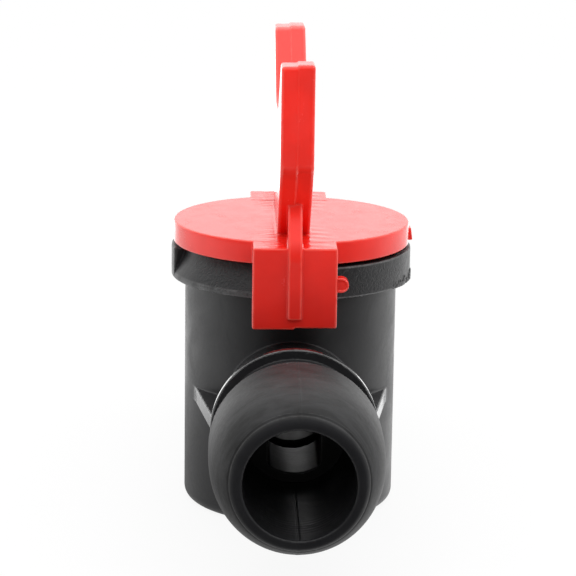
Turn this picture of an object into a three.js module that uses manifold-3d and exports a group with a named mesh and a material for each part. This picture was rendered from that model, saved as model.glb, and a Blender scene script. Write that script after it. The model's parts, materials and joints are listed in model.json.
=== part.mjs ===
// An in-line seacock valve for 38 mm boat hose: a moulded body with two hose tails, a barrel plug that turns
// inside it on an upright axis, and a clip-on cap whose plate is the handle. Lengths are in millimetres and
// angles in degrees. The origin is the centre of the body's flat underside, +Z is up, the front tail points
// along -Y, and the valve is open.

import * as THREE from "three";
import { mergeVertices } from "three/addons/utils/BufferGeometryUtils.js";
import Module from "manifold-3d";

const wasm = await Module();
wasm.setup();

// Driving dimensions.
const BODY = { radius: 25.5, chamber: 21.5, floor: 3, foot: 2.6 };
const FLANGE = { radius: 28.8, low: 55.8, lip: 56.8, high: 63.2 };
const BAND = { start: 0, sweep: 103 };
const PASSAGE = { radius: 12.1, height: 29.6 };
const PORT = { radius: 9.8, halfWidth: 5.9, lip: 46.5 };
const TAIL = { root: 15.2, neck: 16.8, collar: 19.1, ridge: 19.4, nose: 14.7, rim: 14, mouth: 12.5 };
const TAIL_AT = { start: 14, collarBack: 44.8, collarFront: 46.8, ridge: 58.6, nose: 85.7, end: 87 };
const RIDGE_CHAMFER = { radius: 0.5, height: 0.5, foot: 1.2 };
const MOUTH_CHAMFER = 0.8;
const GUSSET = { thickness: 3.6, height: 28.5, wallAngle: 64.4, tip: 17.4 };
const LID = { radius: 28.3, low: 63.9, high: 69.3, edge: 0.6 };
const TAB = { halfWidth: 9.7, outer: 34.6, inner: 22.5, low: 50.2, bandGap: 0.4, wallGap: 0.5 };
const RIB = { width: 3.2, front: 35.7, shoulder: 35.1, back: 30.8, low: 52.7 };
const RIB_TOP = { height: 78.5, front: 29, back: 15.8 };
const PLATE = { thickness: 7.6, foot: 18.8, outer: 39.8, kink: 88.2, top: 111.8, hornInner: 31.5 };
const SADDLE = { height: 96, reach: 10.5 };
const GATE_NUB = { radius: 1.7, reach: 2.7, front: 33.8, depth: 3, height: 60.5 };
const GATE_LUG = { width: 3.6, reach: 0.9, low: 64.5, high: 67.4 };
const PLUG = { radius: 21.2, low: 4.5, high: 62.4, hollow: 16.5, wall: 2.6 };
const TONGUE = { thickness: 5, high: 66.4, gap: 0.3 };
const O_RING = { section: 1.2, groove: 18.55, width: 3.2, low: 10, high: 50 };
const SEAL = { inner: 11, outer: 13.4, back: 26.8, gap: 0.25 };
const WASHER = { inner: 12, outer: 20.5, low: 3.3, high: 4.2 };
const STOP = { radius: 23.2, depth: 2.2, sweep: 16, recess: 23.6, recessLow: 59.8, play: 1, at: -150 };

const ROUND_STEPS = 56;
const TAIL_STEPS = 40;

// A closed geometry as a manifold-3d solid.
function solid(geometry) {
  const bare = geometry.index ? geometry.toNonIndexed() : geometry.clone();
  bare.deleteAttribute("normal");
  bare.deleteAttribute("uv");
  const merged = mergeVertices(bare, 1e-4);
  return new wasm.Manifold(
    new wasm.Mesh({
      numProp: 3,
      vertProperties: new Float32Array(merged.attributes.position.array),
      triVerts: new Uint32Array(merged.index.array),
    }),
  );
}

// A solid back as a geometry.
function geometryOf(body) {
  const { vertProperties, triVerts } = body.getMesh();
  const geometry = new THREE.BufferGeometry();
  geometry.setAttribute("position", new THREE.BufferAttribute(vertProperties, 3));
  geometry.setIndex(new THREE.BufferAttribute(triVerts, 1));
  return geometry;
}

// A profile of [radius, height] points, listed from low to high on its outer side, turned about +Z.
function turned(profile) {
  const points = profile.map(([r, h]) => new THREE.Vector2(r, h));
  return solid(new THREE.LatheGeometry(points, ROUND_STEPS).rotateX(Math.PI / 2));
}

// The same about the water passage's axis, with heights counted from the valve's centre towards the front.
function turnedAlongPassage(profile) {
  const points = profile.map(([r, h]) => new THREE.Vector2(r, h));
  const geometry = new THREE.LatheGeometry(points, TAIL_STEPS).rotateZ(Math.PI);
  return solid(geometry.translate(0, 0, PASSAGE.height));
}

const disc = (radius, low, high) => turned([[0, low], [radius, low], [radius, high], [0, high]]);

const ring = (inner, outer, low, high) =>
  turned([[inner, low], [outer, low], [outer, high], [inner, high], [inner, low]]);

// A flat outline of [x, y] points made thick along +Z from low to high.
function slab(outline, low, high) {
  const shape = new THREE.Shape(outline.map(([x, y]) => new THREE.Vector2(x, y)));
  const options = { depth: high - low, bevelEnabled: false };
  return solid(new THREE.ExtrudeGeometry(shape, options).translate(0, 0, low));
}

// An outline of [y, z] points made thick along X, centred on x = 0.
function uprightSlab(outline, thickness) {
  const shape = new THREE.Shape(outline.map(([y, z]) => new THREE.Vector2(y, z)));
  const geometry = new THREE.ExtrudeGeometry(shape, { depth: thickness, bevelEnabled: false });
  geometry.translate(0, 0, -thickness / 2);
  const axes = new THREE.Matrix4().makeBasis(
    new THREE.Vector3(0, 1, 0),
    new THREE.Vector3(0, 0, 1),
    new THREE.Vector3(1, 0, 0),
  );
  return solid(geometry.applyMatrix4(axes));
}

function box(low, high) {
  const size = high.map((v, i) => v - low[i]);
  const middle = high.map((v, i) => (v + low[i]) / 2);
  return solid(new THREE.BoxGeometry(...size).translate(...middle));
}

// The point at a bearing: 0 is the front, -Y, and the angle grows towards +X, the way the cap closes.
function bearing(radius, degrees) {
  const angle = THREE.MathUtils.degToRad(degrees - 90);
  return [radius * Math.cos(angle), radius * Math.sin(angle)];
}

// A pie slice about the valve's axis, wider than everything it is meant to cut.
function sector(start, sweep, low, high) {
  const corners = Math.ceil(sweep / 30);
  const reach = 2 * FLANGE.radius;
  const rim = Array.from({ length: corners + 1 }, (_, i) => bearing(reach, start + (sweep * i) / corners));
  return slab([[0, 0], ...rim], low, high);
}

// A quarter round from one point of a profile to another, bulging towards a corner.
function quarter([r0, h0], [r1, h1], corner, steps = 4) {
  return Array.from({ length: steps + 1 }, (_, i) => {
    const turn = (Math.PI / 2) * (i / steps);
    const [s, c] = [Math.sin(turn), Math.cos(turn)];
    return [
      corner[0] + (r0 - corner[0]) * (1 - s) + (r1 - corner[0]) * (1 - c),
      corner[1] + (h0 - corner[1]) * (1 - s) + (h1 - corner[1]) * (1 - c),
    ];
  });
}

// A front half and the same again after half a turn about the upright axis.
const twice = (half) => half.add(half.rotate([0, 0, 180]));

// The hose tail's outside: root tube, collar, neck, barb ridge and a nose that rounds off like a bullet
// towards its mouth.
function tailProfile() {
  const noseSteps = 7;
  const nose = Array.from({ length: noseSteps }, (_, i) => {
    const along = (i + 1) / noseSteps;
    const drop = (TAIL.ridge - TAIL.nose) * along ** 4;
    return [TAIL.ridge - drop, TAIL_AT.ridge + (TAIL_AT.nose - TAIL_AT.ridge) * along];
  });
  return [
    [0, TAIL_AT.start],
    [TAIL.root, TAIL_AT.start],
    [TAIL.root, TAIL_AT.collarBack],
    [TAIL.collar, TAIL_AT.collarBack],
    [TAIL.collar, TAIL_AT.collarFront],
    [TAIL.neck, TAIL_AT.collarFront],
    [TAIL.neck, TAIL_AT.ridge - RIDGE_CHAMFER.foot],
    [TAIL.ridge - RIDGE_CHAMFER.radius, TAIL_AT.ridge - RIDGE_CHAMFER.height],
    [TAIL.ridge, TAIL_AT.ridge],
    ...nose,
    [TAIL.rim, TAIL_AT.end],
    [0, TAIL_AT.end],
  ];
}

// Level webs beside the passage, from the barrel's wall out to the collar.
function gussets() {
  const [wallX, wallY] = bearing(BODY.radius, GUSSET.wallAngle);
  const tip = -(TAIL_AT.collarBack + TAIL_AT.collarFront) / 2;
  const outline = [
    [-wallX, 0],
    [-wallX, wallY],
    [-GUSSET.tip, tip],
    [GUSSET.tip, tip],
    [wallX, wallY],
    [wallX, 0],
  ];
  const low = GUSSET.height - GUSSET.thickness / 2;
  return twice(slab(outline, low, low + GUSSET.thickness));
}

// The barrel and its coned flange. The cone leads the cap's tabs on, and the two full bands keep them there.
function barrel() {
  const { radius, foot } = BODY;
  return turned([
    [0, 0],
    ...quarter([radius - foot, 0], [radius, foot], [radius, 0]),
    [radius, FLANGE.low],
    [FLANGE.radius, FLANGE.low],
    [FLANGE.radius, FLANGE.lip],
    [radius, FLANGE.high],
    [0, FLANGE.high],
  ]);
}

const flangeBands = () =>
  ring(BODY.chamber + 1, FLANGE.radius, FLANGE.low, FLANGE.high).intersect(
    twice(sector(BAND.start, BAND.sweep, FLANGE.low, FLANGE.high)),
  );

// The pocket in the rim that the plug's stop lug swings in, a quarter turn long.
function stopRecess() {
  const start = STOP.at - STOP.sweep / 2 - STOP.play;
  const sweep = 90 + STOP.sweep + 2 * STOP.play;
  const top = FLANGE.high + 1;
  return disc(STOP.recess, STOP.recessLow, top).intersect(sector(start, sweep, STOP.recessLow, top));
}

// The seat round the front port: a short tube along the passage, kept between two reaches about the
// upright axis.
function portRing(inner, outer, nearReach, farReach) {
  const tube = turnedAlongPassage([
    [inner, 0],
    [outer, 0],
    [outer, BODY.radius + outer],
    [inner, BODY.radius + outer],
    [inner, 0],
  ]);
  const low = PASSAGE.height - outer - 1;
  const high = PASSAGE.height + outer + 1;
  return tube.intersect(ring(nearReach, farReach, low, high));
}

// Inside its lip the passage narrows to an oblong port, a circle with flat sides, which runs out from the
// valve's centre to that reach at both ends.
function port(reach) {
  const { radius, halfWidth } = PORT;
  const tube = turnedAlongPassage([[0, -reach], [radius, -reach], [radius, reach], [0, reach]]);
  const low = PASSAGE.height - radius - 1;
  const high = PASSAGE.height + radius + 1;
  return tube.intersect(box([-halfWidth, -reach - 1, low], [halfWidth, reach + 1, high]));
}

function valveBody() {
  const { radius } = PASSAGE;
  const tails = twice(turnedAlongPassage(tailProfile()));
  const chamber = disc(BODY.chamber, BODY.floor, FLANGE.high + 1);
  const bore = twice(
    turnedAlongPassage([
      [0, PORT.lip],
      [radius, PORT.lip],
      [radius, TAIL_AT.end - MOUTH_CHAMFER],
      [TAIL.mouth, TAIL_AT.end],
      [TAIL.mouth, TAIL_AT.end + 1],
      [0, TAIL_AT.end + 1],
    ]),
  );
  const insidePort = PORT.halfWidth - 1;
  const seats = twice(portRing(insidePort, SEAL.outer + SEAL.gap, BODY.chamber - 1, SEAL.back + SEAL.gap));
  return barrel()
    .add(flangeBands())
    .add(tails)
    .add(gussets())
    .subtract(chamber)
    .subtract(bore)
    .subtract(port(PORT.lip + 1))
    .subtract(seats)
    .subtract(stopRecess());
}

// One tab reaches down over the flange and hooks under it, clear of the flange and of the barrel's wall.
function tab() {
  const { halfWidth, outer, inner, low, bandGap, wallGap } = TAB;
  const block = box([-halfWidth, -outer, low], [halfWidth, -inner, LID.high]);
  const overFlange = disc(FLANGE.radius + bandGap, FLANGE.low - bandGap, LID.low);
  const pastWall = disc(BODY.radius + wallGap, low - 1, FLANGE.low);
  return block.subtract(overFlange).subtract(pastWall);
}

// The rib down the middle of a tab, which carries on over the lid as a gusset of the handle plate.
function tabRib() {
  const { front, shoulder, back, low, width } = RIB;
  const insideLid = (LID.low + LID.high) / 2;
  const outline = [
    [-front, low],
    [-back, low],
    [-back, insideLid],
    [-RIB_TOP.back, insideLid],
    [-RIB_TOP.front, RIB_TOP.height],
    [-shoulder, LID.high],
  ];
  return uprightSlab(outline, width);
}

// The handle plate stands across the lid, with a horn at each end and a low saddle between them.
function handlePlate() {
  const { foot, outer, kink, top, hornInner, thickness } = PLATE;
  const rear = [
    [foot, (LID.low + LID.high) / 2],
    [foot, LID.high],
    [outer, kink],
    [outer, top],
    [hornInner, top],
    [SADDLE.reach, SADDLE.height],
  ];
  const front = rear.map(([y, z]) => [-y, z]).reverse();
  return uprightSlab([...rear, ...front], thickness);
}

// The round-ended stub that the moulding was fed through, left on the side of the front tab.
function gateNub() {
  const { radius, reach, front, depth, height } = GATE_NUB;
  const root = TAB.halfWidth - 1;
  const middle = TAB.halfWidth + reach - radius;
  const round = new THREE.CylinderGeometry(radius, radius, depth, 20);
  round.translate(middle, depth / 2 - front, height);
  const neck = box([root, -front, height - radius], [middle, depth - front, height + radius]);
  return solid(round).add(neck);
}

// A second, flat stub on the lid's edge.
function gateLug() {
  const { width, reach, low, high } = GATE_LUG;
  return box([LID.radius - 1, -width / 2, low], [LID.radius + reach, width / 2, high]);
}

function handleCap() {
  const { radius, low, high, edge } = LID;
  const lid = turned([[0, low], [radius, low], [radius, high - edge], [radius - edge, high], [0, high]]);
  const { thickness, gap } = TONGUE;
  const slot = box(
    [-thickness / 2 - gap, -PLUG.hollow - gap, low - 1],
    [thickness / 2 + gap, PLUG.hollow + gap, TONGUE.high + gap],
  );
  return lid
    .add(twice(tab()))
    .add(twice(tabRib()))
    .add(handlePlate())
    .add(gateNub())
    .add(gateLug())
    .subtract(slot);
}

// The plug is hollow above and below its passage. A tongue across the upper hollow drives it from the cap.
function barrelPlug() {
  const { radius, low, high, hollow, wall } = PLUG;
  const { low: lowGroove, high: highGroove, groove, width } = O_RING;
  const outside = turned([
    [0, low],
    [radius, low],
    [radius, lowGroove - width / 2],
    [groove, lowGroove - width / 2],
    [groove, lowGroove + width / 2],
    [radius, lowGroove + width / 2],
    [radius, highGroove - width / 2],
    [groove, highGroove - width / 2],
    [groove, highGroove + width / 2],
    [radius, highGroove + width / 2],
    [radius, high],
    [0, high],
  ]);
  const lowHollow = disc(hollow, low - 1, PASSAGE.height - PASSAGE.radius - wall);
  const highHollow = disc(hollow, PASSAGE.height + PASSAGE.radius + wall, high + 1);
  const half = TONGUE.thickness / 2;
  const tongue = box([-half, -hollow, PASSAGE.height + PASSAGE.radius], [half, hollow, TONGUE.high]);
  const lug = disc(STOP.radius, high - STOP.depth, high)
    .subtract(disc(hollow + 1, high - STOP.depth - 1, high + 1))
    .intersect(sector(STOP.at - STOP.sweep / 2, STOP.sweep, high - STOP.depth, high));
  return outside.subtract(lowHollow).subtract(highHollow).subtract(port(radius + 1)).add(tongue).add(lug);
}

// A round-section ring in one of the plug's grooves.
function oRing(height) {
  const middle = (O_RING.groove + BODY.chamber) / 2;
  const steps = 6;
  const circle = Array.from({ length: steps + 1 }, (_, i) => {
    const turn = (2 * Math.PI * (i % steps)) / steps;
    return [middle + O_RING.section * Math.cos(turn), height + O_RING.section * Math.sin(turn)];
  });
  return turned(circle);
}

const portSeal = () => portRing(SEAL.inner, SEAL.outer, BODY.chamber, SEAL.back);

// One moulding colour for each family of pieces.
const blackNylon = () => new THREE.MeshStandardMaterial({ color: 0x141415, roughness: 0.38, metalness: 0 });
const redPlastic = () => new THREE.MeshStandardMaterial({ color: 0xd91a14, roughness: 0.35, metalness: 0 });
const plugPlastic = () => new THREE.MeshStandardMaterial({ color: 0x1b1b1c, roughness: 0.45, metalness: 0 });
const rubber = () => new THREE.MeshStandardMaterial({ color: 0x0c0c0c, roughness: 0.8, metalness: 0 });
const washerPlastic = () => new THREE.MeshStandardMaterial({ color: 0xdedbd2, roughness: 0.5, metalness: 0 });

function piece(name, body, material) {
  const mesh = new THREE.Mesh(geometryOf(body), material);
  mesh.name = name;
  return mesh;
}

const valve = new THREE.Group();
valve.add(
  piece("valve_body", valveBody(), blackNylon()),
  piece("handle_cap", handleCap(), redPlastic()),
  piece("barrel_plug", barrelPlug(), plugPlastic()),
  piece("upper_o_ring", oRing(O_RING.high), rubber()),
  piece("lower_o_ring", oRing(O_RING.low), rubber()),
  piece("front_port_seal", portSeal(), rubber()),
  piece("rear_port_seal", portSeal().rotate([0, 0, 180]), rubber()),
  piece("thrust_washer", ring(WASHER.inner, WASHER.outer, WASHER.low, WASHER.high), washerPlastic()),
);

export default valve;
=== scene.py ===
"""Looks of the in-line seacock valve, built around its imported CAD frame.

All pieces are made as solids described by distance functions, in millimetres, and turned into
meshes whose edges and inside corners are rounded as moulded plastic is.
"""

import json
import math

import bpy
import numpy as np
from mathutils import Matrix, Vector


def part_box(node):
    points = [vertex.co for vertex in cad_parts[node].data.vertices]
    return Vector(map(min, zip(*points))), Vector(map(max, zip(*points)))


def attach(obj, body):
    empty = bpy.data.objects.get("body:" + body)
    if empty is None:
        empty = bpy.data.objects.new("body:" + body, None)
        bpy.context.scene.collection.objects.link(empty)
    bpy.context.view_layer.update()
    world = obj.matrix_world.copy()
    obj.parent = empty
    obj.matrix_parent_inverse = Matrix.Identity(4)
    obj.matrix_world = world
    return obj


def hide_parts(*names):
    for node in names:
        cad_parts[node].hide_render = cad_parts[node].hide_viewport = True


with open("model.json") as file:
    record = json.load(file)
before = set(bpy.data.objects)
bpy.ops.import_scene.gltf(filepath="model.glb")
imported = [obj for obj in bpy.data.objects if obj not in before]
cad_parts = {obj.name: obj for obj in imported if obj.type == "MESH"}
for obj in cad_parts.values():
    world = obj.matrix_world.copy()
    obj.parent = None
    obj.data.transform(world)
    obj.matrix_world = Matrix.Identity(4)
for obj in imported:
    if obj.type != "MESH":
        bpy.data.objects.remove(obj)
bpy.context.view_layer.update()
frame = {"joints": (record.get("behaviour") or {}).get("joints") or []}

MM = 0.001
MOST_TRIANGLES = 190000

# Sizes that the frame gives, in millimetres.
BODY_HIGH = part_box("valve_body")[1] / MM
CAP_LOW, CAP_HIGH = (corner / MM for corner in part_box("handle_cap"))
PLUG_LOW, PLUG_HIGH = (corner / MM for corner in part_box("barrel_plug"))
WASHER_LOW, WASHER_HIGH = (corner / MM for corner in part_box("thrust_washer"))
TAIL_END = BODY_HIGH.y
FLANGE_R = BODY_HIGH.x
RIM_TOP = BODY_HIGH.z
HORN_OUT = CAP_HIGH.y
HORN_TOP = CAP_HIGH.z
TAB_LOW = CAP_LOW.z
AXIS_Z = frame["joints"][0]["pos_m"][2] / MM

# Body: lengths in millimetres, angles in degrees.
BODY_R = 25.5
CHAMBER_R = 21.5
FLOOR_Z = 3.0
FOOT_ROUND = 2.6
FLANGE_LOW = 55.8
CONE_LOW = 56.8
BAND_SWEEP = 103.0
FLASH_BEARING = 74.0
FLASH_REACH = 0.36
RUFFLES_LEFT = -19.0
RUFFLES_BACK = -14.0
RUFFLES_FADE = 6.0
BORE_R = 12.1
PORT_R = 9.8
PORT_HALF = 5.9
PORT_LIP = 46.5
ROOT_R = 15.2
NECK_R = 16.8
COLLAR_R = 19.1
RIDGE_R = 19.4
NOSE_R = 14.7
COLLAR_BACK = 44.8
COLLAR_FRONT = 46.8
RIDGE_AT = 58.6
NOSE_AT = 85.7
NOSE_GROOVE_AT = 85.0
NOSE_GROOVE_DEPTH = 0.14
TOOL_MARKS_AT = 78.0
TOOL_MARKS_REACH = 5.0
TOOL_MARKS_PITCH = 1.5
TOOL_MARKS_DEPTH = 0.02
GUSSET_LOW = 26.7
GUSSET_HIGH = 30.3
GUSSET_SIDE = 17.4
GUSSET_TIP = (COLLAR_BACK + COLLAR_FRONT) / 2
GUSSET_BEARING = 64.4
SEAL_R = 13.65
SEAL_REACH = 27.05
STOP_AT = -150.0
STOP_SWEEP = 16.0
STOP_PLAY = 1.0
STOP_RECESS_R = 23.6
STOP_RECESS_LOW = 59.8

# Cap, in millimetres.
LID_R = 28.3
LID_LOW = 63.9
LID_HIGH = 69.3
TAB_HALF = 9.7
TAB_OUT = 34.6
TAB_IN = 22.5
TAB_CLEAR_R = 29.2
HOOK_CLEAR_R = 26.0
RIB_WIDE = 3.2
RIB_FRONT = 35.7
RIB_BACK = 30.8
RIB_LOW = 52.7
RIB_TOP = 78.5
RIB_TOP_FRONT = 29.0
PLATE_THICK = 7.6
PLATE_FOOT = 18.8
HORN_KINK = 88.2
HORN_IN = 31.5
SADDLE_Z = 96.0
SADDLE_REACH = 10.5
NUB_R = 1.7
NUB_MIDDLE = TAB_HALF + 1.0
NUB_Z = 60.5
NUB_FRONT = 33.8
NUB_BACK = 30.8
LUG_LOW = 64.5
LUG_HIGH = 67.4
LUG_WIDE = 3.6
HALVES_DROP = 0.34

# Inside, in millimetres.
PLUG_R = PLUG_HIGH.x
PLUG_TOP = 62.4
PLUG_HOLLOW = 16.5
PLUG_WALL = 2.6
TONGUE_THICK = 5.0
TONGUE_GAP = 0.3
STOP_R = 23.2
STOP_DEPTH = 2.2
GROOVE_R = 18.55
GROOVE_WIDE = 3.2
O_RING_SECTION = 1.2
O_RING_HEIGHTS = {"upper_o_ring": 50.0, "lower_o_ring": 10.0}
SEAL_IN = 11.0
SEAL_OUT = 13.4
SEAL_BACK = 26.8
WASHER_IN = 12.0


# ---- Distance functions: negative inside, lengths in millimetres ----

def join(a, b, radius=0.0):
    """Union, with a fillet of that radius where the two meet."""
    if radius <= 0:
        return np.minimum(a, b)
    inside_a = np.maximum(radius - a, 0)
    inside_b = np.maximum(radius - b, 0)
    return np.maximum(radius, np.minimum(a, b)) - np.hypot(inside_a, inside_b)


def meet(a, b, radius=0.0):
    """Intersection, with the edge between the two rounded to that radius."""
    return -join(-a, -b, radius)


def cut(a, b, radius=0.0):
    """a without b."""
    return meet(a, -b, radius)


def between(value, low, high):
    """A slab from low to high along one coordinate."""
    return np.abs(value - (low + high) / 2) - (high - low) / 2


def half_plane(u, v, start, end):
    """The side to the left of the line from start to end, in the plane of u and v."""
    du, dv = end[0] - start[0], end[1] - start[1]
    length = math.hypot(du, dv)
    return ((u - start[0]) * dv - (v - start[1]) * du) / length


def wedge(x, y, start, sweep):
    """The pie slice from one bearing to another. Bearing 0 is the front, -Y, and grows towards +X."""
    first = math.radians(start - 90)
    last = math.radians(start + sweep - 90)
    near = x * math.sin(first) - y * math.cos(first)
    far = y * math.cos(last) - x * math.sin(last)
    return np.maximum(near, far) if sweep < 180 else np.minimum(near, far)


# ---- Meshing ----

def sampled(field, low, cell, counts):
    """The field on a grid. Cells far from the surface take the value of their block's middle."""
    block = 4
    counts = [math.ceil(n / block) * block for n in counts]
    axes = [low[i] + cell * np.arange(counts[i], dtype=np.float32) for i in range(3)]
    middles = [a.reshape(-1, block).mean(axis=1) for a in axes]
    coarse = field(*np.meshgrid(*middles, indexing="ij"))
    near = np.abs(coarse) < cell * block * 0.95
    values = coarse.repeat(block, 0).repeat(block, 1).repeat(block, 2).astype(np.float32)
    near = near.repeat(block, 0).repeat(block, 1).repeat(block, 2)
    i, j, k = np.nonzero(near)
    values[i, j, k] = field(axes[0][i], axes[1][j], axes[2][k])
    return values


def surface_net(values):
    """Vertices, in grid steps, and quads of the surface where the sampled field changes sign."""
    inside = values < 0
    corners = [(a, b, c) for a in (0, 1) for b in (0, 1) for c in (0, 1)]
    shape = tuple(n - 1 for n in values.shape)

    def corner(array, offset):
        return array[tuple(slice(o, o + n) for o, n in zip(offset, shape))]

    filled = sum(corner(inside, c).astype(np.uint8) for c in corners)
    cells = np.nonzero((filled > 0) & (filled < 8))
    places = np.zeros((len(cells[0]), 3))
    crossings = np.zeros(len(cells[0]))
    for start in corners:
        for axis in range(3):
            if start[axis]:
                continue
            end = tuple(1 if i == axis else s for i, s in enumerate(start))
            first = values[tuple(c + s for c, s in zip(cells, start))]
            last = values[tuple(c + s for c, s in zip(cells, end))]
            crossed = (first < 0) != (last < 0)
            part = np.where(crossed, first / np.where(crossed, first - last, 1), 0)
            for i in range(3):
                places[:, i] += crossed * (start[i] + (part if i == axis else 0))
            crossings += crossed
    places = places / crossings[:, None] + np.stack(cells, axis=1)
    number = np.full(shape, -1, np.int32)
    number[cells] = np.arange(len(places))

    quads = []
    for axis in range(3):
        u, v = (axis + 1) % 3, (axis + 2) % 3
        first = [slice(1, -1)] * 3
        last = [slice(1, -1)] * 3
        first[axis] = slice(0, -1)
        last[axis] = slice(1, None)
        enters = inside[tuple(first)]
        leaves = inside[tuple(last)]
        for mask, order in ((enters & ~leaves, 1), (~enters & leaves, -1)):
            at = list(np.nonzero(mask))
            at[u] = at[u] + 1
            at[v] = at[v] + 1
            ring = []
            for back_u, back_v in ((1, 1), (0, 1), (0, 0), (1, 0)):
                place = list(at)
                place[u] = place[u] - back_u
                place[v] = place[v] - back_v
                ring.append(number[tuple(place)])
            quads.append(np.stack(ring[::order], axis=1))
    return places, np.concatenate(quads)


def slope(field, points):
    """The field's value and gradient at some points."""
    step = 0.02
    signs = np.array([(1, -1, -1), (-1, -1, 1), (-1, 1, -1), (1, 1, 1)])
    tips = [field(*(points + step * s).T) for s in signs]
    gradient = sum(np.outer(t, s) for t, s in zip(tips, signs)) / (4 * step)
    return sum(tips) / 4, gradient


def settle(field, points, rounds=2):
    """Moves points onto the field's surface."""
    for _ in range(rounds):
        value, gradient = slope(field, points)
        steepness = np.maximum((gradient ** 2).sum(axis=1), 0.2)
        shift = np.clip(value / steepness, -0.3, 0.3)
        points = points - gradient * shift[:, None]
    return points


def moulding(name, field, low, high, cell, faces):
    """A mesh object of the surface where field is 0, thinned to about that many triangles."""
    margin = 2 * cell
    low = np.array(low) - margin
    counts = np.ceil((np.array(high) + margin - low) / cell).astype(int) + 1
    places, quads = surface_net(sampled(field, low, cell, counts))
    points = settle(field, low + cell * places)
    mesh = bpy.data.meshes.new(name)
    mesh.from_pydata((points * MM).tolist(), [], quads.tolist())
    piece = bpy.data.objects.new(name, mesh)
    bpy.context.scene.collection.objects.link(piece)
    triangles = 2 * len(quads)
    if triangles > faces:
        thin = piece.modifiers.new("thin", "DECIMATE")
        thin.ratio = faces / triangles
        thinner = piece.evaluated_get(bpy.context.evaluated_depsgraph_get())
        thinned = bpy.data.meshes.new_from_object(thinner)
        piece.modifiers.clear()
        piece.data = thinned
        thinned.name = name
    shade_by_field(piece.data, field)
    return piece


def bend(field, points):
    """How sharply the surface bends outwards at some points, as 1 over its radius."""
    step = 0.3
    tips = [field(*(points + step * sign * axis).T) for axis in np.eye(3) for sign in (1, -1)]
    return (sum(tips) - 6 * field(*points.T)) / step ** 2


def shade_by_field(mesh, field):
    """Smooth shading with the normals of the true surface, and how sharp its edges are for the materials."""
    points = np.zeros(len(mesh.vertices) * 3)
    mesh.vertices.foreach_get("co", points)
    points = points.reshape(-1, 3) / MM
    _, gradient = slope(field, points)
    normals = gradient / np.maximum(np.linalg.norm(gradient, axis=1), 1e-6)[:, None]
    mesh.shade_smooth()
    mesh.normals_split_custom_set_from_vertices(normals.tolist())
    sharpness = mesh.attributes.new("sharpness", "FLOAT", "POINT")
    sharpness.data.foreach_set("value", bend(field, points).astype(np.float32))


# ---- The valve body ----

def ragged(along):
    """An uneven line that wanders between 0 and 1."""
    slow = np.sin(along) + 0.8 * np.sin(2.3 * along + 1)
    quick = 0.6 * np.sin(5.3 * along + 2) + 0.5 * np.sin(11.9 * along)
    waves = slow + quick
    return np.clip(0.5 + 0.25 * waves, 0, 1)


def flange_field(x, y, z):
    """The coned flange with its two full bands."""
    r = np.hypot(x, y)
    cone = half_plane(r, z, (FLANGE_R, CONE_LOW), (BODY_R, RIM_TOP))
    skirt = meet(cone, r - FLANGE_R, 0.25)
    bearings = np.minimum(wedge(x, y, 0, BAND_SWEEP), wedge(-x, -y, 0, BAND_SWEEP))
    band = meet(r - FLANGE_R, bearings, 0.2)
    band = meet(band, z - RIM_TOP, 0.3)
    return meet(meet(join(skirt, band, 0.15), r - FLANGE_R), FLANGE_LOW - z, 0.25)


def flash_field(x, y, z):
    """The ragged fin of plastic that the mould left round the flange's lip, heaviest at its right."""
    r = np.hypot(x, y)
    bearing = np.arctan2(x, -y)
    heavy = np.exp(-((bearing - math.radians(FLASH_BEARING)) / 0.3) ** 4)
    light = 0.45 + 0.25 * np.cos(3 * bearing - 1.2)
    amount = ragged(55 * bearing) * np.clip(heavy + light, 0, 1)
    under = between(z, FLANGE_LOW - FLASH_REACH * amount, FLANGE_LOW + 0.35)
    under = meet(under, between(r, FLANGE_R - 0.9, FLANGE_R - 0.35 + 0.3 * heavy), 0.08)
    tall = 2.4 * ragged(13 * bearing + 1) * heavy
    curl = between(z, FLANGE_LOW - 0.2, FLANGE_LOW + 0.2 + tall)
    curl_out = FLASH_REACH * np.sqrt(ragged(24 * bearing)) * heavy
    curl = meet(curl, between(r, FLANGE_R - 0.3, FLANGE_R + curl_out), 0.08)
    return join(under, meet(curl, 0.3 - heavy), 0.1)


def tail_field(x, y, z):
    """Both hose tails: tube, collar, ridge and bullet nose."""
    s = np.abs(y)
    q = np.hypot(x, z - AXIS_Z)
    along = np.clip((s - RIDGE_AT) / (NOSE_AT - RIDGE_AT), 0, 1.15)
    drop = RIDGE_R - NOSE_R
    steepness = 4 * drop * along ** 3 / (NOSE_AT - RIDGE_AT)
    barrel = (q - RIDGE_R + drop * along ** 4) / np.sqrt(1 + steepness ** 2)
    barrel = barrel + NOSE_GROOVE_DEPTH * np.exp(-((s - NOSE_GROOVE_AT) / 0.3) ** 2)
    barrel = meet(barrel, half_plane(q, s, (NECK_R, RIDGE_AT - 1.2), (RIDGE_R, RIDGE_AT - 0.3)), 0.2)
    barrel = meet(barrel, s - TAIL_END, 0.6)
    collar = meet(q - COLLAR_R, between(s, COLLAR_BACK, COLLAR_FRONT), 0.2)
    tube = join(meet(q - ROOT_R, s - COLLAR_FRONT), meet(q - NECK_R, between(s, COLLAR_BACK, RIDGE_AT)))
    tail = join(join(tube, collar, 0.3), barrel, 0.3)
    return meet(tail - parting_ridge(x), s - TAIL_END, 0.1)


def parting_ridge(x):
    """The height of the fine line where the halves of a mould met."""
    return 0.07 * np.exp(-(x / 0.22) ** 2)


def gusset_field(x, y, z):
    """Level webs from the barrel's wall to the collars."""
    bearing = math.radians(GUSSET_BEARING)
    wall = (BODY_R * math.sin(bearing), BODY_R * math.cos(bearing))
    edge = half_plane(np.abs(x), np.abs(y), wall, (GUSSET_SIDE, GUSSET_TIP))
    web = meet(edge, between(z, GUSSET_LOW, GUSSET_HIGH), 0.2)
    return meet(web, np.abs(y) - GUSSET_TIP)


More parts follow.
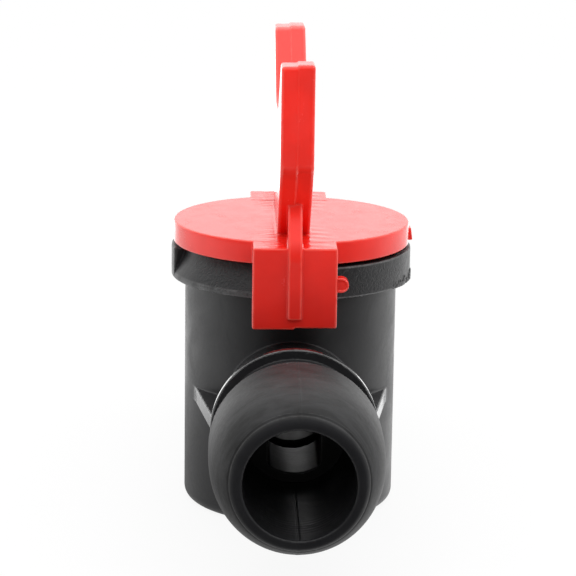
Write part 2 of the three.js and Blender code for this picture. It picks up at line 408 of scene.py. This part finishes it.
def port_field(x, z):
    """The passage inside its lip and through the plug: a circle with flat sides."""
    return meet(np.hypot(x, z - AXIS_Z) - PORT_R, np.abs(x) - PORT_HALF, 0.8)


def bore_field(x, y, z):
    """The water passage through the body, with a parting line, and tool marks on its floor by each mouth."""
    s = np.abs(y)
    q = np.hypot(x, z - AXIS_Z)
    marks = TOOL_MARKS_DEPTH * np.sin(2 * math.pi * s / TOOL_MARKS_PITCH)
    marks = marks * np.exp(-((s - TOOL_MARKS_AT) / TOOL_MARKS_REACH) ** 2) * (z < AXIS_Z)
    return join(port_field(x, z), meet(q - BORE_R + marks + parting_ridge(x), PORT_LIP - s), 0.3)


def body_field(x, y, z):
    r = np.hypot(x, y)
    q = np.hypot(x, z - AXIS_Z)
    barrel = meet(meet(r - BODY_R, -z, FOOT_ROUND), z - RIM_TOP, 0.4)
    flange = join(flange_field(x, y, z), flash_field(x, y, z), 0.1)
    solid = join(barrel, flange, 0.5)
    solid = join(solid, join(tail_field(x, y, z), gusset_field(x, y, z), 0.3), 0.4)
    chamber = meet(r - CHAMBER_R, FLOOR_Z - z, 0.6)
    seat = meet(q - SEAL_R, r - SEAL_REACH, 0.2)
    first = STOP_AT - STOP_SWEEP / 2 - STOP_PLAY
    swing = wedge(x, y, first, 90 + STOP_SWEEP + 2 * STOP_PLAY)
    recess = meet(meet(r - STOP_RECESS_R, STOP_RECESS_LOW - z), swing)
    solid = cut(solid, join(join(chamber, seat), recess), 0.3)
    return cut(solid, bore_field(x, y, z), 0.35)


# ---- The handle cap ----

def left_drop(x, drop):
    """How far the left half of a moulding lies below the right, as the mould's halves don't quite meet."""
    return drop * (0.5 - 0.5 * np.tanh(x / 0.1))


def plate_field(x, y, z):
    """The handle plate, with its two horns and the saddle between them."""
    reach = np.abs(y)
    above_top = z - HORN_TOP
    z = z + left_drop(x, HALVES_DROP)
    outline = meet(
        half_plane(reach, z, (PLATE_FOOT, LID_HIGH), (HORN_OUT, HORN_KINK)),
        reach - HORN_OUT,
        1.0,
    )
    outline = meet(outline, z - HORN_TOP, 1.0)
    outline = meet(outline, LID_LOW + 2 - z)
    notch = meet(
        half_plane(reach, z, (SADDLE_REACH, SADDLE_Z), (HORN_IN, HORN_TOP)),
        SADDLE_Z - z,
        2.5,
    )
    outline = cut(outline, notch, 0.8) - parting_ridge(x)
    return meet(meet(outline, above_top), np.abs(x) - PLATE_THICK / 2, 0.75)


def tab_field(x, y, z):
    """Both side tabs, clear of the flange and hooked under it."""
    reach = np.abs(y)
    r = np.hypot(x, y)
    low = TAB_LOW + HALVES_DROP - left_drop(x, HALVES_DROP)
    block = meet(np.abs(x) - TAB_HALF, between(z, low, LID_HIGH), 0.5)
    block = meet(block, reach - TAB_OUT, 0.5)
    block = meet(block, TAB_IN - reach)
    over_flange = meet(r - TAB_CLEAR_R, between(z, FLANGE_LOW - 0.4, LID_LOW), 0.2)
    past_wall = meet(r - HOOK_CLEAR_R, z - FLANGE_LOW)
    return cut(block, join(over_flange, past_wall), 0.3)


def rib_field(x, y, z):
    """The rib down the middle of each tab, which runs on up to the handle plate."""
    reach = np.abs(y)
    front = meet(
        reach - RIB_FRONT,
        half_plane(reach, z, (RIB_FRONT - 0.6, LID_HIGH), (RIB_TOP_FRONT, RIB_TOP)),
        1.5,
    )
    outline = meet(front, between(z, RIB_LOW, RIB_TOP), 0.4)
    outline = cut(outline, half_plane(reach, z, (PLATE_FOOT - 3, LID_LOW + 2), (RIB_TOP_FRONT, RIB_TOP)))
    outline = cut(outline, meet(reach - RIB_BACK, z - LID_LOW - 2))
    return meet(outline, np.abs(x) - RIB_WIDE / 2, 0.45)


def gate_field(x, y, z):
    """The round-ended stub on the front tab's side, and the flat one on the lid's edge."""
    along = np.maximum(x - NUB_MIDDLE, 0)
    away = np.hypot(along, z - NUB_Z)
    dish = 0.25 * np.clip((NUB_R - 0.45 - away) / 0.2, 0, 1)
    nub = meet(away - NUB_R, between(y, -NUB_FRONT, -NUB_BACK) + dish * (y < -NUB_BACK - 1), 0.25)
    nub = meet(nub, TAB_HALF - 1 - x)
    narrow = LUG_WIDE / 2 - 0.25 * (z - LUG_LOW) / (LUG_HIGH - LUG_LOW)
    outer = half_plane(x, z, (CAP_HIGH.x, LUG_LOW), (CAP_HIGH.x - 0.35, LUG_HIGH))
    lug = meet(meet(outer, LID_R - 1 - x), np.abs(y) - narrow, 0.15)
    return join(nub, meet(lug, between(z, LUG_LOW, LUG_HIGH), 0.15))


def flow_ripples(x, y):
    """The height of the waves on the lid by the handle plate's foot: long on the right, short on the left."""
    off_plate = np.maximum(np.abs(x) - PLATE_THICK / 2, 0)
    reach = np.abs(y)
    near = np.exp(-(off_plate / 3.6) ** 2) * np.clip((reach - 6) / 12, 0.1, 1) * (reach < TAB_OUT)
    long_waves = 0.1 * np.sin(1.35 * y + 0.3 * x + 0.6)
    short_waves = 0.05 * np.sin(2.9 * y + 1.2 * np.sin(0.9 * x)) + 0.03 * np.sin(4.7 * y - 0.8 * x)
    return near * np.where(x > 0, long_waves, short_waves)


def cap_field(x, y, z):
    r = np.hypot(x, y)
    lid = meet(r - LID_R, between(z, LID_LOW, LID_HIGH), 0.45)
    solid = join(lid, tab_field(x, y, z), 0.2)
    solid = solid + (0.08 + flow_ripples(x, y)) * np.clip(z - LID_HIGH + 1, 0, 1)
    solid = join(solid, rib_field(x, y, z), 0.35)
    solid = join(solid, plate_field(x, y, z), 0.5)
    solid = join(solid, gate_field(x, y, z), 0.15)
    half = TONGUE_THICK / 2 + TONGUE_GAP
    slot = meet(np.abs(x) - half, np.abs(y) - PLUG_HOLLOW - TONGUE_GAP)
    return cut(solid, meet(slot, z - PLUG_HIGH.z - TONGUE_GAP), 0.2)


# ---- The pieces inside ----

def plug_field(x, y, z):
    """The drum with its cross passage, a hollow above and below it, O-ring grooves, tongue and stop lug."""
    r = np.hypot(x, y)
    drum = meet(r - PLUG_R, between(z, PLUG_LOW.z, PLUG_TOP), 0.5)
    for height in O_RING_HEIGHTS.values():
        drum = cut(drum, meet(GROOVE_R - r, np.abs(z - height) - GROOVE_WIDE / 2, 0.2), 0.15)
    passage_wall = BORE_R + PLUG_WALL
    hollow = meet(r - PLUG_HOLLOW, passage_wall - np.abs(z - AXIS_Z), 0.8)
    drum = cut(drum, hollow, 0.3)
    tongue = meet(np.abs(x) - TONGUE_THICK / 2, z - PLUG_HIGH.z, 0.4)
    tongue = meet(meet(tongue, np.abs(y) - PLUG_HOLLOW, 0.4), AXIS_Z + BORE_R - z)
    lug = meet(wedge(x, y, STOP_AT - STOP_SWEEP / 2, STOP_SWEEP), r - STOP_R, 0.2)
    lug = meet(meet(lug, between(z, PLUG_TOP - STOP_DEPTH, PLUG_TOP), 0.2), PLUG_HOLLOW + 1 - r)
    return cut(join(join(drum, tongue, 0.6), lug, 0.2), port_field(x, z), 0.4)


def o_ring_field(height):
    """A round-section ring in the groove at that height, with the fine flash line of its mould."""
    middle = (GROOVE_R + CHAMBER_R) / 2

    def field(x, y, z):
        away = np.hypot(np.hypot(x, y) - middle, z - height)
        return away - O_RING_SECTION + 0.03 - 0.03 * np.exp(-((z - height) / 0.12) ** 2)

    return field


def port_seal_field(x, y, z):
    """A rubber seat round the passage, with a soft bead on the face that the plug slides over."""
    r = np.hypot(x, y)
    q = np.hypot(x, z - AXIS_Z)
    bead = 0.12 * np.cos(math.pi * (q - (SEAL_IN + SEAL_OUT) / 2) / (SEAL_OUT - SEAL_IN)) - 0.12
    depth = between(r, CHAMBER_R + 0.02, SEAL_BACK) - bead * (r < CHAMBER_R + 0.9)
    return meet(between(q, SEAL_IN, SEAL_OUT), depth, 0.35)


def washer_field(x, y, z):
    """A flat ring with eased edges and four grease grooves across its upper face."""
    r = np.hypot(x, y)
    flat = meet(between(r, WASHER_IN, WASHER_HIGH.x), between(z, WASHER_LOW.z, WASHER_HIGH.z), 0.22)
    across = np.minimum(np.abs(x), np.abs(y))
    return cut(flat, np.hypot(across, z - WASHER_HIGH.z) - 0.35, 0.1)


# ---- Materials ----

def add_node(tree, kind, inputs=None, **settings):
    """A shader node. Its inputs are given as values or as other nodes' outputs."""
    node = tree.nodes.new("ShaderNode" + kind)
    for name, value in settings.items():
        setattr(node, name, value)
    for name, value in (inputs or {}).items():
        if isinstance(value, bpy.types.NodeSocket):
            tree.links.new(value, node.inputs[name])
        else:
            node.inputs[name].default_value = value
    return node


def calculate(tree, operation, *values):
    return add_node(tree, "Math", dict(enumerate(values)), operation=operation).outputs[0]


def remap(tree, value, start, end, low, high):
    """low where the value is at start, high where it is at end, and in proportion between."""
    inputs = {"Value": value, "From Min": start, "From Max": end, "To Min": low, "To Max": high}
    return add_node(tree, "MapRange", inputs).outputs[0]


def product(tree, first, *others):
    for other in others:
        first = calculate(tree, "MULTIPLY", first, other)
    return first


def inverse(tree, amount):
    """1 where the amount is 0, and 0 where it is 1."""
    return calculate(tree, "SUBTRACT", 1, amount)


def blend(tree, amount, first, second):
    return add_node(tree, "Mix", {0: amount, 2: first, 3: second}).outputs[0]


def blend_colors(tree, amount, first, second):
    node = add_node(tree, "Mix", {0: amount, 6: first, 7: second}, data_type="RGBA")
    return node.outputs[2]


def millimetres(tree, stretch=(1, 1, 1)):
    """The place on the piece in millimetres, with each axis stretched."""
    place = add_node(tree, "TexCoord").outputs["Object"]
    scale = [along / MM for along in stretch]
    return add_node(tree, "VectorMath", {0: place, 1: scale}, operation="MULTIPLY").outputs[0]


def noise(tree, place, scale, detail=2.0, distortion=0.0):
    inputs = {"Vector": place, "Scale": scale, "Detail": detail, "Distortion": distortion}
    return add_node(tree, "TexNoise", inputs).outputs[0]


def raised(tree, height, depth, normal=None):
    """A bump of that depth in millimetres, laid over another normal."""
    inputs = {"Height": height, "Distance": depth * MM, "Strength": 1.0}
    if normal:
        inputs["Normal"] = normal
    return add_node(tree, "Bump", inputs).outputs[0]


def plastic(name, color, roughness):
    material = bpy.data.materials.new(name)
    material.use_nodes = True
    tree = material.node_tree
    shader = tree.nodes["Principled BSDF"]
    shader.inputs["Base Color"].default_value = (*color, 1)
    shader.inputs["Roughness"].default_value = roughness
    return material, tree, shader


def plug_in(tree, shader, **values):
    """Connects outputs to the shader's inputs, with _ for each space in an input's name."""
    for name, value in values.items():
        tree.links.new(value, shader.inputs[name.replace("_", " ")])


def edges_worn_and_highlit(tree):
    """1 on sharp outer edges, in uneven stretches, and 0 elsewhere. The materials paint these edges paler,
    partly as wear and partly as a painted highlight.
    """
    sharpness = add_node(tree, "Attribute", attribute_name="sharpness").outputs["Fac"]
    uneven = remap(tree, noise(tree, millimetres(tree), 0.4), 0.3, 0.6, 0.3, 1)
    return product(tree, remap(tree, sharpness, 0.6, 1.8, 0, 1), uneven)


def on_flange_front(tree, across, along, upward):
    """1 on the front of the flange, whose skin is ruffled, and less towards its left side and its back."""
    high_enough = remap(tree, upward, FLANGE_LOW - 0.5, FLANGE_LOW + 0.5, 0, 1)
    off_the_left = remap(tree, across, RUFFLES_LEFT - RUFFLES_FADE, RUFFLES_LEFT, 0, 1)
    in_front = remap(tree, along, RUFFLES_BACK + RUFFLES_FADE, RUFFLES_BACK, 0, 1)
    return product(tree, high_enough, off_the_left, in_front)


def on_thin_edges(tree, reach, from_axis, upward):
    """1 on the collars' rims and the gussets' side faces, which are smoother than the rest."""
    by_collar = calculate(tree, "COMPARE", reach, GUSSET_TIP, 1.2)
    rim = product(tree, by_collar, calculate(tree, "GREATER_THAN", from_axis, COLLAR_R - 0.4))
    wall = BODY_R * math.cos(math.radians(GUSSET_BEARING))
    middle = (GUSSET_LOW + GUSSET_HIGH) / 2
    side = product(
        tree,
        calculate(tree, "COMPARE", upward, middle, GUSSET_HIGH - middle - 0.1),
        calculate(tree, "GREATER_THAN", from_axis, GUSSET_SIDE - 0.2),
        calculate(tree, "GREATER_THAN", reach, wall + 0.3),
        calculate(tree, "LESS_THAN", reach, COLLAR_BACK),
    )
    return calculate(tree, "MAXIMUM", rim, side)


def nylon_zones(tree, place):
    """How far a spot on the body lies in each zone, 0 to 1. The tail is the outside from the ridge on."""
    across, along, upward = add_node(tree, "SeparateXYZ", {0: place}).outputs
    reach = calculate(tree, "ABSOLUTE", along)
    above_axis = calculate(tree, "SUBTRACT", upward, AXIS_Z)
    off_axis = add_node(tree, "CombineXYZ", {0: across, 1: above_axis}).outputs[0]
    from_axis = add_node(tree, "VectorMath", {0: off_axis}, operation="LENGTH").outputs["Value"]
    bore = remap(tree, from_axis, BORE_R + 0.6, BORE_R + 0.2, 0, 1)
    past_ridge = calculate(tree, "GREATER_THAN", reach, RIDGE_AT - 0.4)
    return {
        "bore": bore,
        "tail": product(tree, past_ridge, inverse(tree, bore)),
        "nose": remap(tree, reach, NOSE_AT - 0.1, NOSE_AT + 0.5, 0, 1),
        "flange front": on_flange_front(tree, across, along, upward),
        "thin edges": on_thin_edges(tree, reach, from_axis, upward),
    }


def nylon_color(tree, zones, cloudy):
    """Near black, greyer in cloudy scuffs on the tails, and paler on sharp edges, partly from wear and partly
    as a painted highlight.
    """
    base = blend_colors(tree, cloudy, (0.007, 0.007, 0.008, 1), (0.015, 0.015, 0.016, 1))
    scuffs = noise(tree, millimetres(tree, (0.09, 0.25, 0.09)), 1.0, 4, 1.2)
    scuffs = remap(tree, scuffs, 0.35, 0.65, 0, 1)
    scuffed = blend_colors(tree, scuffs, (0.008, 0.008, 0.008, 1), (0.023, 0.023, 0.024, 1))
    behind_nose = calculate(tree, "SUBTRACT", zones["tail"], zones["nose"])
    base = blend_colors(tree, behind_nose, base, scuffed)
    # Sharp edges painted paler: partly wear, partly a painted highlight where the rounded edges catch the
    # light.
    edge_wear_and_highlight = product(tree, edges_worn_and_highlit(tree), inverse(tree, zones["nose"]))
    return blend_colors(tree, edge_wear_and_highlight, base, (0.09, 0.09, 0.091, 1))


def nylon_roughness(tree, zones, cloudy, grain):
    """Duller on the tails, and smoother in the bore and most of all on thin edges."""
    rough = remap(tree, cloudy, 0.3, 0.7, 0.36, 0.48)
    rough = blend(tree, zones["tail"], rough, 0.5)
    rough = blend(tree, zones["bore"], rough, 0.34)
    rough = blend(tree, zones["thin edges"], rough, 0.1)
    return calculate(tree, "ADD", rough, remap(tree, grain, 0.3, 0.7, -0.03, 0.03))


def nylon_relief(tree, zones, place, cloudy, grain):
    """Fine grain outside the bore, ruffles on the flange's front, soft waves, and rings round the tails."""
    ruffled = product(tree, noise(tree, place, 0.9, 3, 1.5), zones["flange front"])
    rings = noise(tree, millimetres(tree, (0.05, 0.7, 0.05)), 1.0, 3)
    normal = raised(tree, product(tree, grain, inverse(tree, zones["bore"])), 0.008)
    normal = raised(tree, ruffled, 0.22, normal)
    normal = raised(tree, cloudy, 0.12, normal)
    return raised(tree, product(tree, rings, zones["tail"]), 0.03, normal)


def black_nylon():
    """Satin black with cloudy gloss, pale edges that are partly wear and partly a painted highlight, and
    scuffed dull tails.
    """
    material, tree, shader = plastic("black_nylon", (0.011, 0.011, 0.012), 0.33)
    place = millimetres(tree)
    grain = noise(tree, place, 1.5, 3)
    cloudy = noise(tree, place, 0.12, 3, 0.6)
    zones = nylon_zones(tree, place)
    tail_specular = remap(tree, zones["nose"], 0, 1, 0.17, 0.05)
    plug_in(
        tree,
        shader,
        Base_Color=nylon_color(tree, zones, cloudy),
        Roughness=nylon_roughness(tree, zones, cloudy, grain),
        Specular_IOR_Level=blend(tree, zones["tail"], 0.5, tail_specular),
        Normal=nylon_relief(tree, zones, place, cloudy, grain),
    )
    return material


def red_plastic():
    """Glossy red with soft flow marks, painted shade that darkens it low on the tabs, and paler edges that
    are partly wear and partly a painted highlight.
    """
    material, tree, shader = plastic("red_plastic", (0.80, 0.018, 0.01), 0.25)
    place = millimetres(tree)
    grain = noise(tree, place, 2.2, 2)
    flow = noise(tree, millimetres(tree, (0.22, 0.22, 0.1)), 1.0, 3, 1.0)
    cloudy = noise(tree, place, 0.11, 3)
    _, _, upward = add_node(tree, "SeparateXYZ", {0: place}).outputs
    # Painted shade: the red darkens towards the bottom of the tabs, standing in for less light reaching them.
    # The cloudy tone on top of it is the plastic's own.
    painted_shade_low_down = remap(tree, upward, TAB_LOW, LID_HIGH + 3, 0.5, 0.95)
    tone_and_painted_shade = product(tree, painted_shade_low_down, remap(tree, cloudy, 0.35, 0.65, 0.86, 1.05))
    base = blend_colors(tree, tone_and_painted_shade, (0.3, 0.008, 0.006, 1), (0.86, 0.021, 0.012, 1))
    # Sharp edges painted paler: partly wear, partly a painted highlight where the rounded edges catch the
    # light.
    edge_wear_and_highlight = product(tree, edges_worn_and_highlit(tree), 0.2)
    rough = remap(tree, flow, 0.3, 0.7, 0.16, 0.27)
    normal = raised(tree, grain, 0.004)
    normal = raised(tree, flow, 0.03, normal)
    plug_in(
        tree,
        shader,
        Base_Color=blend_colors(tree, edge_wear_and_highlight, base, (0.95, 0.2, 0.15, 1)),
        Roughness=calculate(tree, "ADD", rough, remap(tree, grain, 0.3, 0.7, -0.02, 0.02)),
        Normal=normal,
    )
    return material


def plug_plastic():
    """Matt black with turning marks round its axis."""
    material, tree, shader = plastic("plug_plastic", (0.012, 0.012, 0.013), 0.5)
    rings = noise(tree, millimetres(tree, (0.04, 0.04, 1.4)), 1.0, 3)
    grain = noise(tree, millimetres(tree), 2.0, 3)
    base = blend_colors(tree, grain, (0.008, 0.008, 0.009, 1), (0.018, 0.018, 0.019, 1))
    plug_in(
        tree,
        shader,
        # Sharp edges painted paler, partly wear and partly a painted highlight.
        Base_Color=blend_colors(tree, edges_worn_and_highlit(tree), base, (0.05, 0.05, 0.05, 1)),
        Roughness=remap(tree, rings, 0.3, 0.7, 0.42, 0.58),
        Normal=raised(tree, grain, 0.01, raised(tree, rings, 0.03)),
    )
    return material


def seal_rubber():
    """Black nitrile with a film of grease in patches."""
    material, tree, shader = plastic("seal_rubber", (0.014, 0.014, 0.014), 0.6)
    grain = noise(tree, millimetres(tree), 3.5, 4)
    grease = remap(tree, noise(tree, millimetres(tree), 0.35, 2), 0.45, 0.6, 0, 1)
    plug_in(
        tree,
        shader,
        Base_Color=blend_colors(tree, grain, (0.009, 0.009, 0.009, 1), (0.022, 0.021, 0.02, 1)),
        Roughness=remap(tree, grease, 0, 1, 0.66, 0.3),
        Normal=raised(tree, grain, 0.01),
    )
    return material


def washer_plastic():
    """Natural ivory plastic, a little see-through, with grey rub marks round its face."""
    material, tree, shader = plastic("washer_plastic", (0.72, 0.69, 0.61), 0.45)
    shader.inputs["Subsurface Weight"].default_value = 0.2
    shader.inputs["Subsurface Scale"].default_value = 0.8 * MM
    x, y, _ = add_node(tree, "SeparateXYZ", {0: millimetres(tree)}).outputs
    squares = [product(tree, side, side) for side in (x, y)]
    radius = calculate(tree, "SQRT", calculate(tree, "ADD", *squares))
    circle = add_node(tree, "CombineXYZ", {0: product(tree, radius, 2.5)}).outputs[0]
    rubbed = remap(tree, noise(tree, circle, 1.0, 3), 0.5, 0.75, 0, 1)
    base = blend_colors(tree, rubbed, (0.74, 0.71, 0.63, 1), (0.5, 0.48, 0.44, 1))
    plug_in(
        tree,
        shader,
        Base_Color=base,
        Roughness=remap(tree, rubbed, 0, 1, 0.5, 0.34),
        Normal=raised(tree, noise(tree, millimetres(tree), 2.5, 3), 0.008),
    )
    return material


# ---- The pieces ----

def build(name, node, body, field, cell, material):
    """One piece in place of its plain CAD node, riding on that node's body."""
    low, high = (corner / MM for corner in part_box(node))
    piece = moulding(name, field, low, high, cell, MOST_TRIANGLES)
    piece.data.materials.append(material)
    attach(piece, body)
    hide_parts(node)


def build_valve():
    build("valve_body_moulding", "valve_body", "housing", body_field, 0.4, black_nylon())
    build("handle_cap_moulding", "handle_cap", "rotor", cap_field, 0.3, red_plastic())
    build("barrel_plug_moulding", "barrel_plug", "rotor", plug_field, 0.45, plug_plastic())
    rubber = seal_rubber()
    for node, height in O_RING_HEIGHTS.items():
        build(node + "_rubber", node, "rotor", o_ring_field(height), 0.25, rubber)
    for node in ("front_port_seal", "rear_port_seal"):
        build(node + "_rubber", node, "housing", port_seal_field, 0.25, rubber)
    washer = washer_plastic()
    build("thrust_washer_disc", "thrust_washer", "housing", washer_field, 0.25, washer)


# ---- The studio ----

# Angles in degrees, the lens in millimetres and the rest in metres.
CAMERA_AZIMUTH = -1.64
CAMERA_ELEVATION = 13.18
CAMERA_ROLL = 0.8
CAMERA_DISTANCE = 0.5859
CAMERA_TARGET = Vector((0, 0, 0.0561))
CAMERA_SHIFT = (-0.00064, -0.0040)
CAMERA_LENS = 151.2

# Brightness, where 1 is white, as reflections show it: in front of the valve and behind it, overhead, and of
# the floor: farther off to the back, close by on the left and on the right, and straight behind.
FRONT_LIGHT = 0.1
BACK_LIGHT = 1.4
TOP_LIGHT = 1.0
FLOOR_BACK_LIGHT = 1.4
FLOOR_LEFT_LIGHT = 0.6
FLOOR_RIGHT_LIGHT = 1.5
FLOOR_BEHIND_LIGHT = 1.4
FLOOR_ALBEDO = 0.7


def add_camera():
    data = bpy.data.cameras.new("camera")
    data.lens = CAMERA_LENS
    data.sensor_width = 36
    data.clip_end = 10
    camera = bpy.data.objects.new("camera", data)
    bpy.context.scene.collection.objects.link(camera)
    azimuth = math.radians(CAMERA_AZIMUTH)
    elevation = math.radians(CAMERA_ELEVATION)
    roll = math.radians(CAMERA_ROLL)
    back = Vector((
        math.sin(azimuth) * math.cos(elevation),
        -math.cos(azimuth) * math.cos(elevation),
        math.sin(elevation),
    ))
    right = (-back).cross(Vector((0, 0, 1))).normalized()
    up = right.cross(-back)
    across = math.cos(roll) * right + math.sin(roll) * up
    upward = math.cos(roll) * up - math.sin(roll) * right
    place = CAMERA_TARGET + CAMERA_DISTANCE * back + CAMERA_SHIFT[0] * across + CAMERA_SHIFT[1] * upward
    turn = Matrix((across, upward, back)).transposed().to_4x4()
    camera.matrix_world = Matrix.Translation(place) @ turn
    bpy.context.scene.camera = camera


def front_to_back(tree, direction, slant, dark, bright, back_light):
    """Dark in front and bright behind. A slant above 0 makes the right brighter, below 0 the left."""
    sideways, backward, _ = add_node(tree, "SeparateXYZ", {0: direction}).outputs
    turned = calculate(tree, "ADD", backward, product(tree, sideways, slant))
    return remap(tree, turned, dark, bright, FRONT_LIGHT, back_light)


def reflected_floor(tree, place):
    """The floor's brightness in reflections."""
    direction = add_node(tree, "VectorMath", {0: place}, operation="NORMALIZE").outputs[0]
    far = front_to_back(tree, direction, -0.2, -0.75, 0.0, FLOOR_BACK_LIGHT)
    sideways, backward, _ = add_node(tree, "SeparateXYZ", {0: direction}).outputs
    near = remap(tree, sideways, -0.8, 0.8, FLOOR_LEFT_LIGHT, FLOOR_RIGHT_LIGHT)
    distance = add_node(tree, "VectorMath", {0: place}, operation="LENGTH").outputs["Value"]
    closeness = remap(tree, distance, 0.07, 0.15, 1, 0)
    around = blend(tree, closeness, far, near)
    behind = remap(tree, backward, 0.85, 0.97, 0, FLOOR_BEHIND_LIGHT)
    return calculate(tree, "ADD", around, behind)


def add_floor():
    """A pale floor, nearly plain white to the camera, and darker in front as reflections show it."""
    mesh = bpy.data.meshes.new("floor")
    side = 3.0
    corners = [(-side, -side, 0), (side, -side, 0), (side, side, 0), (-side, side, 0)]
    mesh.from_pydata(corners, [], [(0, 1, 2, 3)])
    floor = bpy.data.objects.new("floor", mesh)
    bpy.context.scene.collection.objects.link(floor)
    material, tree, shader = plastic("floor", (FLOOR_ALBEDO,) * 3, 0.9)
    shader.inputs["Specular IOR Level"].default_value = 0
    ray = add_node(tree, "LightPath").outputs
    place = add_node(tree, "TexCoord").outputs["Object"]
    dim = add_node(tree, "Emission", {"Strength": reflected_floor(tree, place)}).outputs[0]
    white = add_node(tree, "Emission", {"Strength": 1.0}).outputs[0]
    lit = {0: ray["Is Glossy Ray"], 1: shader.outputs[0], 2: dim}
    surface = add_node(tree, "MixShader", lit).outputs[0]
    amount = product(tree, ray["Is Camera Ray"], 0.9)
    surface = add_node(tree, "MixShader", {0: amount, 1: surface, 2: white}).outputs[0]
    tree.links.new(surface, tree.nodes["Material Output"].inputs["Surface"])
    mesh.materials.append(material)


def add_softbox(name, bearing, height, distance, side, brightness):
    """A square light aimed at the valve, left out of reflections. Bearing 0 is the front, 90 is +X."""
    angle = math.radians(bearing - 90)
    data = bpy.data.lights.new(name, "AREA")
    data.shape = "SQUARE"
    data.size = side
    data.energy = math.pi * side ** 2 * brightness
    light = bpy.data.objects.new(name, data)
    bpy.context.scene.collection.objects.link(light)
    place = Vector((distance * math.cos(angle), distance * math.sin(angle), height))
    light.location = place
    light.rotation_euler = (CAMERA_TARGET - place).to_track_quat("-Z", "Y").to_euler()
    light.visible_glossy = False


def add_world():
    """A white backdrop, bright behind and overhead and dark behind the camera, as reflections show it."""
    world = bpy.data.worlds.new("studio")
    bpy.context.scene.world = world
    world.use_nodes = True
    tree = world.node_tree
    direction = add_node(tree, "TexCoord").outputs["Generated"]
    upward = add_node(tree, "SeparateXYZ", {0: direction}).outputs[2]
    overhead = remap(tree, upward, 0.3, 0.85, 0, TOP_LIGHT)
    around = front_to_back(tree, direction, 0.25, -0.6, 0.6, BACK_LIGHT)
    light = calculate(tree, "ADD", around, overhead)
    seen = add_node(tree, "LightPath").outputs["Is Camera Ray"]
    strength = blend(tree, seen, light, 1.0)
    tree.links.new(strength, tree.nodes["Background"].inputs["Strength"])
    tree.nodes["Background"].inputs["Color"].default_value = (1, 1, 1, 1)


def add_studio():
    add_world()
    add_floor()
    add_softbox("left_softbox", -35, 0.7, 0.75, 0.6, 2.2)
    add_softbox("right_softbox", 35, 0.7, 0.75, 0.6, 1.9)
    bpy.context.scene.view_settings.view_transform = "Standard"


build_valve()
add_studio()
add_camera()

bpy.context.view_layer.update()
